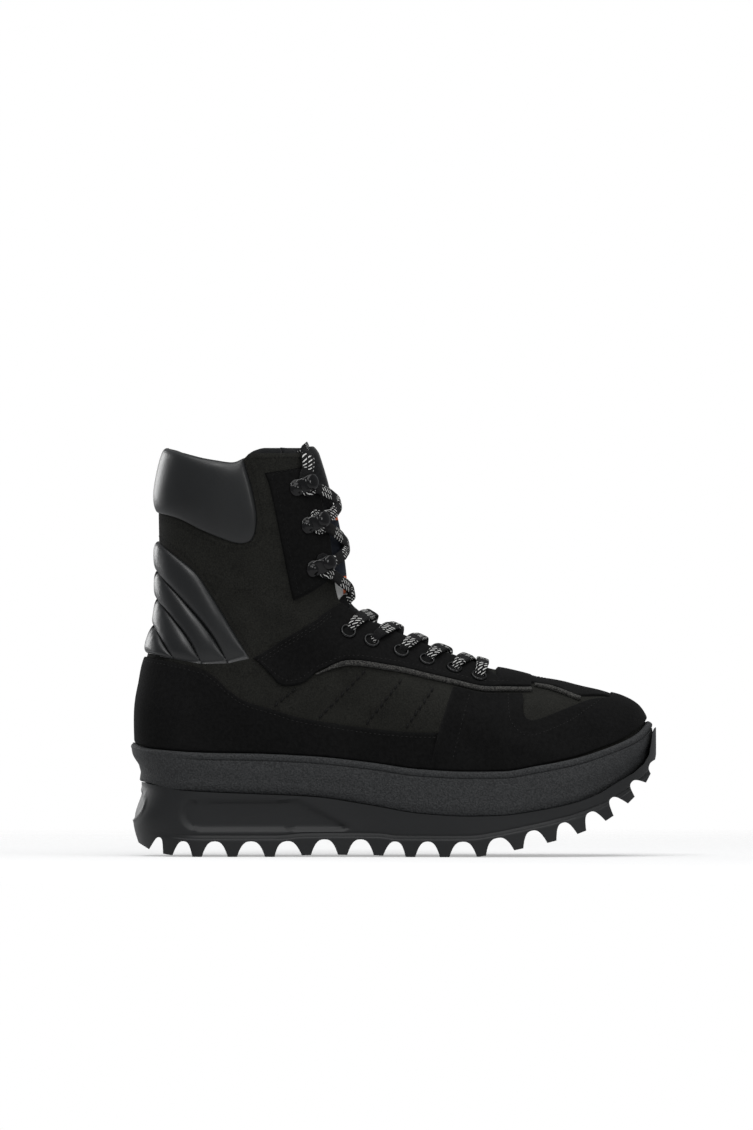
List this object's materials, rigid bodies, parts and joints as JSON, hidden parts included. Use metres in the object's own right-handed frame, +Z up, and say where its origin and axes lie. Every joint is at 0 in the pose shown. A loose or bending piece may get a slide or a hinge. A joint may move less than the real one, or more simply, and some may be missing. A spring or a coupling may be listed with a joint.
{
  "type": "high-top sneaker",
  "caption": "High-top lace-up sneaker, right shoe: hollow cloth and suede upper, padded collar and heel, lace hooks, textured rubber rand and lugged outsole.",
  "frame": {"origin": "middle of the shoe's bounding box, on the floor", "axes": "+X from heel to toe, +Y to the inner (medial) side, +Z up"},
  "size_m": [0.304, 0.1124, 0.2376],
  "materials": {
    "outsole_rubber": "satin moulded rubber",
    "rand_rubber": "matt rubber with a leathery grain",
    "cloth": "matt woven nylon",
    "lining": "matt mesh lining",
    "suede": "matt suede",
    "pad_leather": "smooth padded leather, low gloss",
    "piping": "fuzzy piping",
    "metal": "gloss black enamel",
    "lace": "woven cord, black with white flecks"
  },
  "bodies": {
    "root": {"outsole": "outsole_rubber", "rand": "rand_rubber", "insole": "lining", "upper": "cloth", "tongue": "lining", "heel_counter": "suede", "toe_guard": "suede", "throat_tab": "suede", "toe_strip": "suede", "collar_pad": "pad_leather", "heel_ribs": "pad_leather", "lace_bar": "lace", "eyestay_lateral": "suede", "hook_panel_lateral": "suede", "piping_lateral": "piping", "toe_piping_lateral": "piping", "eyelet_lateral_1": "metal", "eyelet_lateral_2": "metal", "eyelet_lateral_3": "metal", "eyelet_lateral_4": "metal", "eyelet_lateral_5": "metal", "eyelet_lateral_6": "metal", "hook_lateral_1": "metal", "hook_lateral_2": "metal", "hook_lateral_3": "metal", "eyestay_medial": "suede", "hook_panel_medial": "suede", "piping_medial": "piping", "toe_piping_medial": "piping", "eyelet_medial_1": "metal", "eyelet_medial_2": "metal", "eyelet_medial_3": "metal", "eyelet_medial_4": "metal", "eyelet_medial_5": "metal", "eyelet_medial_6": "metal", "hook_medial_1": "metal", "hook_medial_2": "metal", "hook_medial_3": "metal", "lace_crossing_1": "lace", "lace_crossing_2": "lace", "lace_crossing_3": "lace", "lace_crossing_4": "lace", "lace_crossing_5": "lace", "lace_crossing_6": "lace", "lace_crossing_7": "lace", "lace_crossing_8": "lace"}
  },
  "joints": []
}
